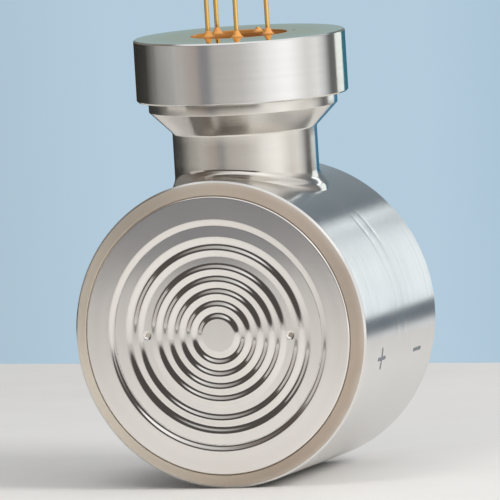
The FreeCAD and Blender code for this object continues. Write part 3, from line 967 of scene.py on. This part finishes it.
class SENSOR_OT_neck(bpy.types.Operator):
    """Build the neck with its cone, its collar and the rippled weld bead on the barrel"""

    bl_idname = "sensor.neck"
    bl_label = "Neck"

    def turned_rows(self, sizes):
        """Points from the bore's upper edge over the collar and down the cone, as (radius, height)."""
        collar_foot = sizes.top_height - sizes.collar_height
        cone_foot = collar_foot - (sizes.collar_radius - sizes.radius)
        corners = [
            (sizes.bore_radius, sizes.top_height),
            (sizes.collar_radius, sizes.top_height),
            (sizes.collar_radius, collar_foot),
            (sizes.radius, cone_foot),
            (sizes.radius, cone_foot - sizes.collar_height),
        ]
        edge = sizes.edge_rounding
        return rounded(corners, [0, edge, edge, sizes.cone_rounding, 0])

    def bead_rows(self, turn, sizes, barrel_radius):
        """Points down the bead at one turn angle, as (radius, height), which end inside the barrel."""

        def saddle(radius):
            return math.sqrt(barrel_radius**2 - (radius * math.cos(turn)) ** 2)

        ridge = math.sin(turn) ** 2
        sway = sizes.bead_sway * math.sin(SWAY_SWINGS * turn + SWAY_PHASE)
        rise = sizes.bead_rise * (1 + sizes.bead_side_gain * (1 - ridge))
        taper = 1 - sizes.bead_taper * (1 - math.cos(turn))
        reach = sizes.bead_reach * taper + sway * TOE_SWAY
        top = Vector((sizes.radius, saddle(sizes.radius) + rise + sway))
        toe = Vector((sizes.radius + reach, saddle(sizes.radius + reach)))
        fall = top.y - toe.y
        under = top + Vector((reach * sizes.bead_ledge * ridge, -fall * sizes.bead_hollow))
        lip = fall * sizes.bead_lip * (1 - ridge / 2)
        over = toe + Vector((-reach * sizes.bead_flare * ridge, lip))
        crown = Vector((1, 1)).normalized()
        rows = [top + Vector((0, sizes.bead_root))]
        for step in range(sizes.bead_steps + 1):
            share = step / sizes.bead_steps
            first, middle, last = top.lerp(under, share), under.lerp(over, share), over.lerp(toe, share)
            line = first.lerp(middle, share).lerp(middle.lerp(last, share), share)
            swell = math.sin(math.pi * share) * sizes.ripple_height
            rows.append(line + crown * swell * math.sin(sizes.ripples * turn + RIPPLE_LEAN * share))
        rows.append(toe + Vector((sizes.bead_root, -sizes.bead_root * 2)))
        rows.append(Vector((sizes.bore_radius, saddle(sizes.bore_radius) - sizes.bead_root)))
        return rows

    def execute(self, context):
        sizes = context.scene.sensor_neck
        barrel_radius = context.scene.sensor_barrel.radius
        above = self.turned_rows(sizes)
        bm = bmesh.new()
        columns = []
        for step in range(sizes.segments):
            turn = FULL_TURN * step / sizes.segments
            out = Vector((math.cos(turn), math.sin(turn), 0))
            rows = above + self.bead_rows(turn, sizes, barrel_radius)
            columns.append([bm.verts.new(out * radius + UP * height) for radius, height in rows])
        for column, following in zip(columns, columns[1:] + columns[:1]):
            for row in range(len(column)):
                after = (row + 1) % len(column)
                bm.faces.new((column[row], column[after], following[after], following[row]))
        neck = new_piece("neck_tube", bm)
        even_shading(neck)
        material = neck_material(context.scene.sensor_finishes, sizes, barrel_radius)
        hand_over(neck, "neck_steel", material, "neck")
        return {"FINISHED"}


class SENSOR_OT_header(bpy.types.Operator):
    """Build the header disc with its bevels and its small index mark"""

    bl_idname = "sensor.header"
    bl_label = "Header"

    def execute(self, context):
        sizes = context.scene.sensor_header
        header = turned("header_disc", header_outline(sizes), UP, sizes.segments)
        mark = Vector((sizes.mark_x, sizes.mark_y, sizes.top_height))
        depth = UP * sizes.mark_radius
        combine(header, rod("index_drill", sizes.mark_radius, mark - depth, mark + depth), "DIFFERENCE")
        even_shading(header)
        material = header_material(context.scene.sensor_finishes, sizes)
        hand_over(header, "header_steel", material, "header_body")
        return {"FINISHED"}


def pin_axis(number):
    """Foot and tip of a contact pin's axis, from its solid."""
    low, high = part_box(f"contact_pin_{number}")
    middle = (low + high) / 2
    return Vector((middle.x, middle.y, low.z)), Vector((middle.x, middle.y, high.z))


class SENSOR_OT_glass_seal(bpy.types.Operator):
    """Build the amber glass with its smooth rise round each pin"""

    bl_idname = "sensor.glass_seal"
    bl_label = "Glass seal"

    def execute(self, context):
        sizes = context.scene.sensor_header
        foot = sizes.top_height - sizes.glass_thickness
        surface = sizes.top_height - sizes.glass_sink
        wall = sizes.glass_radius
        shore = sizes.glass_radius - sizes.glass_sink / 2
        corners = [(0, foot), (wall, foot), (wall, sizes.top_height), (shore, surface), (0, surface)]
        outline = rounded(corners, [0, 0, 0, sizes.glass_sink / 3, 0])
        glass = turned("amber_seal", outline, UP, sizes.segments // 2)
        for number in PIN_NUMBERS:
            foot_point, tip_point = pin_axis(number)
            long_pin = tip_point.z > sizes.top_height + sizes.meniscus_height
            height = sizes.meniscus_height if long_pin else sizes.short_meniscus
            bm = turned_bmesh(meniscus_outline(sizes, height), UP, PIN_SEGMENTS)
            bm.transform(Matrix.Translation((foot_point.x, foot_point.y, 0)))
            combine(glass, new_piece("glass_rise", bm), "UNION")
        even_shading(glass)
        material = amber_material(context.scene.sensor_finishes, sizes)
        hand_over(glass, "amber_glass", material, "glass_seal")
        return {"FINISHED"}


class SENSOR_OT_contact_pins(bpy.types.Operator):
    """Build the gold-plated pins with rounded tips"""

    bl_idname = "sensor.contact_pins"
    bl_label = "Contact pins"

    def execute(self, context):
        sizes = context.scene.sensor_header
        material = gold_material(context.scene.sensor_finishes)
        for number in PIN_NUMBERS:
            foot, tip = pin_axis(number)
            run = tip.z - foot.z
            corners = [(0, 0), (sizes.pin_radius, 0), (sizes.pin_radius, run), (0, run)]
            bm = turned_bmesh(rounded(corners, [0, 0, sizes.pin_tip_rounding, 0]), UP, PIN_SEGMENTS)
            bm.transform(Matrix.Translation(foot))
            pin = new_piece(f"pin_{number}", bm)
            even_shading(pin)
            hand_over(pin, "gold_plating", material, f"contact_pin_{number}")
        return {"FINISHED"}


class SENSOR_OT_signs(bpy.types.Operator):
    """Build the laser-marked plus and minus signs of the two pressure sides"""

    bl_idname = "sensor.signs"
    bl_label = "Plus and minus"

    def sign(self, name, middle, lowered, upright, sizes):
        """Thin cross or bar that follows the barrel's surface."""
        half, thin = sizes.sign_length / 2, sizes.sign_width / 2
        stops = [-half, -thin, thin, half]
        runs = [(low, high - low) for low, high in zip(stops, stops[1:])]
        stations = [low + run * step / SIGN_STEPS for low, run in runs for step in range(SIGN_STEPS)]
        stations.append(half)
        stroke = range(SIGN_STEPS, 2 * SIGN_STEPS)
        skin = sizes.radius + sizes.sign_proud
        bm = bmesh.new()
        lattice = []
        for along in stations:
            turns = [across / sizes.radius - lowered for across in stations]
            line = [(skin * math.cos(turn), middle + along, skin * math.sin(turn)) for turn in turns]
            lattice.append([bm.verts.new(point) for point in line])
        for i, (line, after) in enumerate(zip(lattice, lattice[1:])):
            for j in range(len(stations) - 1):
                if j in stroke or (upright and i in stroke):
                    bm.faces.new((line[j], line[j + 1], after[j + 1], after[j]))
        loose = [vert for vert in bm.verts if not vert.link_faces]
        bmesh.ops.delete(bm, geom=loose, context="VERTS")
        piece = new_piece(name, bm)
        plate = piece.modifiers.new("thickness", "SOLIDIFY")
        plate.thickness = sizes.sign_thickness
        plate.offset = -1
        settle(piece)
        return piece

    def execute(self, context):
        sizes = context.scene.sensor_barrel
        marking = context.scene.sensor_finishes.sign_colour
        material = smooth_material("laser_mark", marking, 0.45, cloud_scale=4000.0, metallic=0.6)
        plus = self.sign("sign_plus", -sizes.sign_offset, sizes.plus_angle, True, sizes)
        minus = self.sign("sign_minus", sizes.sign_offset, sizes.minus_angle, False, sizes)
        hand_over(plus, "barrel_steel", material)
        hand_over(minus, "barrel_steel", material)
        return {"FINISHED"}


class SENSOR_OT_inner_pieces(bpy.types.Operator):
    """Give the pieces inside the capsule and in its filling holes their finishes"""

    bl_idname = "sensor.inner_pieces"
    bl_label = "Inner pieces"

    def execute(self, context):
        finishes = context.scene.sensor_finishes
        inner = finishes.inner_colour
        by_slot = {
            "inner_steel": plain_metal("machined_steel", inner, "xy", 0.2 * MM, 0.32, relief=0.2),
            "screw_steel": smooth_material("screw_steel", inner, 0.3, 900.0, 1.0),
            "pedestal_glass": smooth_material("pedestal_glass", finishes.pedestal_colour, 0.1, 700.0),
            "silicon": smooth_material("silicon_chip", finishes.silicon_colour, 0.12, 900.0, 0.7),
            "ceramic": smooth_material("matt_ceramic", finishes.ceramic_colour, 0.6, 1500.0),
            "gold_plating": bpy.data.materials["gold_plating"],
        }
        slots = {row["node"]: row["material_slot"] for row in frame["record"]["subparts"]}
        for name, node in frame["nodes"].items():
            if slots[name] in by_slot:
                node.material_slots[0].material = by_slot[slots[name]]
        return {"FINISHED"}


class SENSOR_OT_stage(bpy.types.Operator):
    """Set up the pale table, the soft studio light and the camera"""

    bl_idname = "sensor.stage"
    bl_label = "Stage"

    def floor(self, values, height):
        """Pale table top with rounded edges."""
        bm = bmesh.new()
        bmesh.ops.create_cube(bm, size=1)
        depth = values.floor_front + values.floor_back
        bm.transform(Matrix.Diagonal((values.floor_side * 2, depth, values.floor_thickness, 1)))
        middle = (values.floor_back - values.floor_front) / 2
        bm.transform(Matrix.Translation((0, middle, height - values.floor_thickness / 2)))
        bm.transform(Matrix.Rotation(values.floor_turn, 4, "Z"))
        rounding = {"offset": values.floor_rounding, "segments": 4, "profile": 0.5}
        bmesh.ops.bevel(bm, geom=bm.edges, affect="EDGES", **rounding)
        table = new_piece("table_top", bm)
        material = smooth_material("pale_table", values.floor_colour, roughness=0.6, cloud_scale=30.0)
        table.data.materials.append(material)

    def soft_light(self, name, place, target, size, power, tint, mirrored):
        """Soft light that faces a point. One that isn't mirrored only brightens matt surfaces."""
        lamp = bpy.data.lights.new(name, "AREA")
        lamp.shape = "RECTANGLE"
        lamp.size, lamp.size_y = size
        lamp.energy = power
        lamp.color = tint
        holder = bpy.data.objects.new(name, lamp)
        holder.location = place
        holder.rotation_euler = (Vector(target) - Vector(place)).to_track_quat("-Z", "Y").to_euler()
        holder.visible_camera = False
        holder.visible_glossy = mirrored
        bpy.context.scene.collection.objects.link(holder)

    def room(self, scene):
        """Soft room tones round the horizon and above it."""
        world = bpy.data.worlds.new("soft_room")
        world.use_nodes = True
        scene.world = world
        tree = world.node_tree
        direction = add(tree, "ShaderNodeTexCoord").outputs["Generated"]
        x, y, z = add(tree, "ShaderNodeSeparateXYZ", {"Vector": direction}).outputs
        turn = calc(tree, "ARCTAN2", x, calc(tree, "MULTIPLY", y, -1.0))
        share = calc(tree, "ADD", calc(tree, "DIVIDE", turn, FULL_TURN), 0.5)
        low = self.tones(tree, share, LOW_ROOM)
        high = self.tones(tree, share, HIGH_ROOM)
        rising = spread(tree, z, *HIGH_START, kind="SMOOTHSTEP")
        upper = spread(tree, z, *UPPER_START, kind="SMOOTHSTEP")
        overhead = spread(tree, z, *CEILING_START, kind="SMOOTHSTEP")
        walls = blend(tree, upper, blend(tree, rising, low, high), self.tones(tree, share, UPPER_ROOM))
        colours = blend(tree, overhead, walls, CEILING)
        tree.links.new(colours, tree.nodes["Background"].inputs["Color"])

    def tones(self, tree, share, stops):
        """Colours of one band round the room."""
        ramp = add(tree, "ShaderNodeValToRGB", {"Fac": share})
        elements = ramp.color_ramp.elements
        while len(elements) < len(stops):
            elements.new(0.5)
        for element, (bearing, *tone) in zip(elements, stops):
            element.position = bearing / 360 + 0.5
            element.color = (*tone, 1) if len(tone) == 3 else (*tone * 3, 1)
        return ramp.outputs["Color"]

    def camera(self, scene, values):
        """Long lens at the picture's angle."""
        turn = Matrix.Rotation(values.camera_azimuth, 4, "Z")
        tilt = Matrix.Rotation(math.pi / 2 - values.camera_elevation, 4, "X")
        roll = Matrix.Rotation(values.camera_roll, 4, "Z")
        lens = bpy.data.cameras.new("camera")
        lens.sensor_width = FILM_WIDTH_MM
        lens.lens = FILM_WIDTH_MM * values.focal_px / PICTURE_WIDTH_PX
        lens.clip_end = VIEW_END
        holder = bpy.data.objects.new("camera", lens)
        holder.matrix_world = Matrix.Translation(CAMERA_PLACE) @ turn @ tilt @ roll
        scene.collection.objects.link(holder)
        scene.camera = holder

    def execute(self, context):
        scene = context.scene
        values = scene.sensor_stage
        self.floor(values, -scene.sensor_barrel.radius)
        for row in LIGHTS:
            self.soft_light(*row)
        self.room(scene)
        self.camera(scene, values)
        scene.view_settings.view_transform = "Standard"
        return {"FINISHED"}


class SENSOR_PT_builder(bpy.types.Panel):
    """Buttons that build the sensor's pieces."""

    bl_label = "Differential pressure sensor"
    bl_idname = "SENSOR_PT_builder"
    bl_space_type = "VIEW_3D"
    bl_region_type = "UI"
    bl_category = "Sensor"

    def draw(self, context):
        for operator in BUILD_ORDER:
            self.layout.operator(operator.bl_idname)


BUILD_ORDER = (
    SENSOR_OT_stage,
    SENSOR_OT_barrel_halves,
    SENSOR_OT_foils,
    SENSOR_OT_weld_rings,
    SENSOR_OT_neck,
    SENSOR_OT_header,
    SENSOR_OT_glass_seal,
    SENSOR_OT_contact_pins,
    SENSOR_OT_signs,
    SENSOR_OT_inner_pieces,
)
CLASSES = (*GROUPS.values(), *BUILD_ORDER, SENSOR_PT_builder)


def register():
    """Registers the classes and adds their values to the scene."""
    for entry in CLASSES:
        bpy.utils.register_class(entry)
    for name, group in GROUPS.items():
        setattr(bpy.types.Scene, name, PointerProperty(type=group))


def unregister():
    """Takes the values and the classes away again."""
    for name in GROUPS:
        delattr(bpy.types.Scene, name)
    for entry in reversed(CLASSES):
        bpy.utils.unregister_class(entry)


def main():
    """Builds every piece in order."""
    register()
    for operator in BUILD_ORDER:
        getattr(bpy.ops.sensor, operator.bl_idname.split(".")[1])()


if __name__ == "__main__":
    main()
